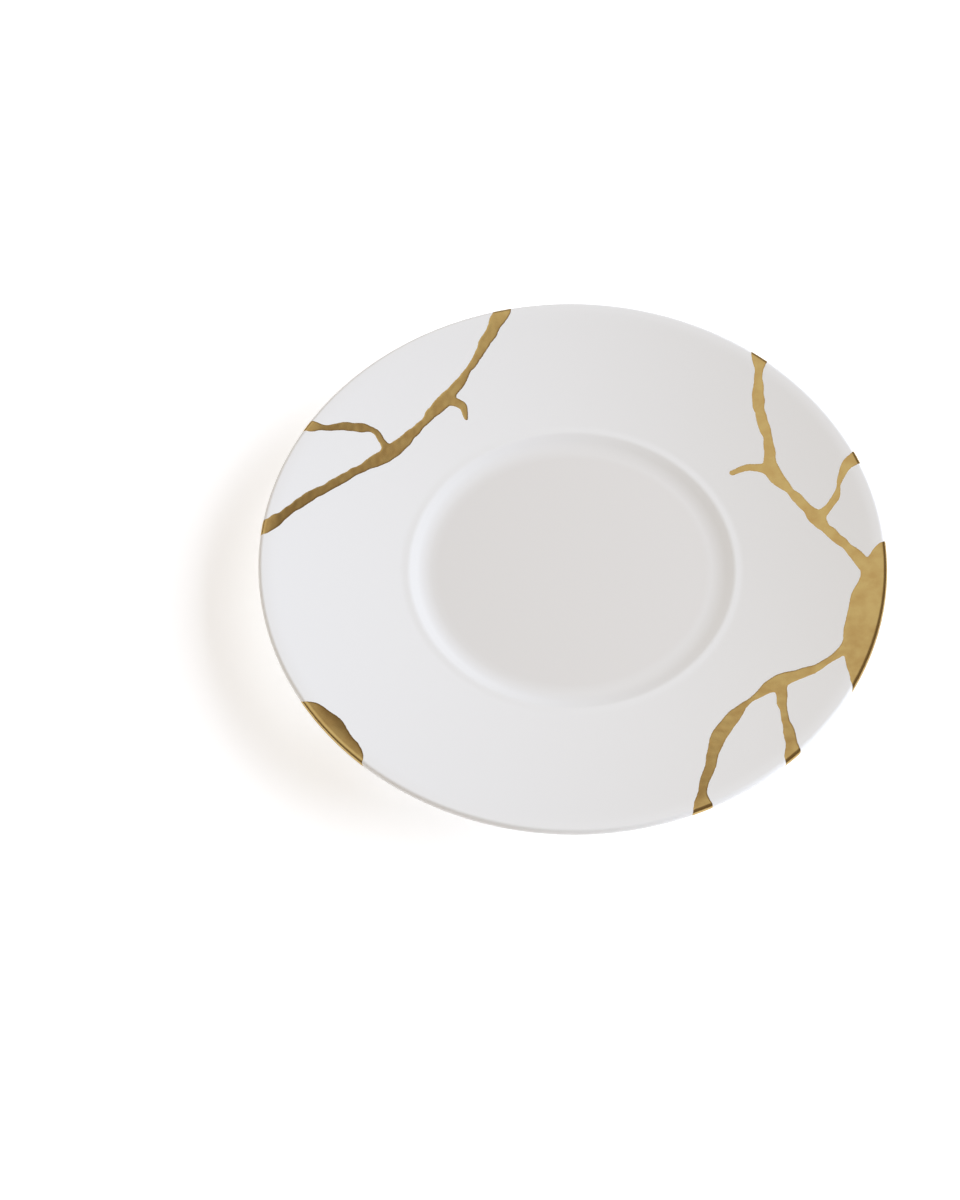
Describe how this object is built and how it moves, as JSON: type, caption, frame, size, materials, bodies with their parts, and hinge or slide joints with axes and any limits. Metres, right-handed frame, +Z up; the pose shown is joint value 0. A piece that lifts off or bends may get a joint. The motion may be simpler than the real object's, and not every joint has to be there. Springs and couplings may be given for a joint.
{
  "type": "saucer",
  "caption": "Round white glazed porcelain saucer with a flat well for a cup, a wide rim that rises to a thin lip, and a turned foot ring; gold mended seams decorate the rim.",
  "frame": {"origin": "middle of the foot ring's underside, on the surface that the saucer stands on", "axes": "+Z up along the axis that the saucer is turned on, +X and +Y level"},
  "size_m": [0.163, 0.163, 0.0156],
  "materials": {
    "glazed_porcelain": "clear gloss glaze over white porcelain, with a narrow bare band where the foot ring stands",
    "gold_seams": "fired satin gold, laid thinly over the glaze"
  },
  "bodies": {
    "root": {"saucer": "glazed_porcelain"}
  },
  "joints": []
}
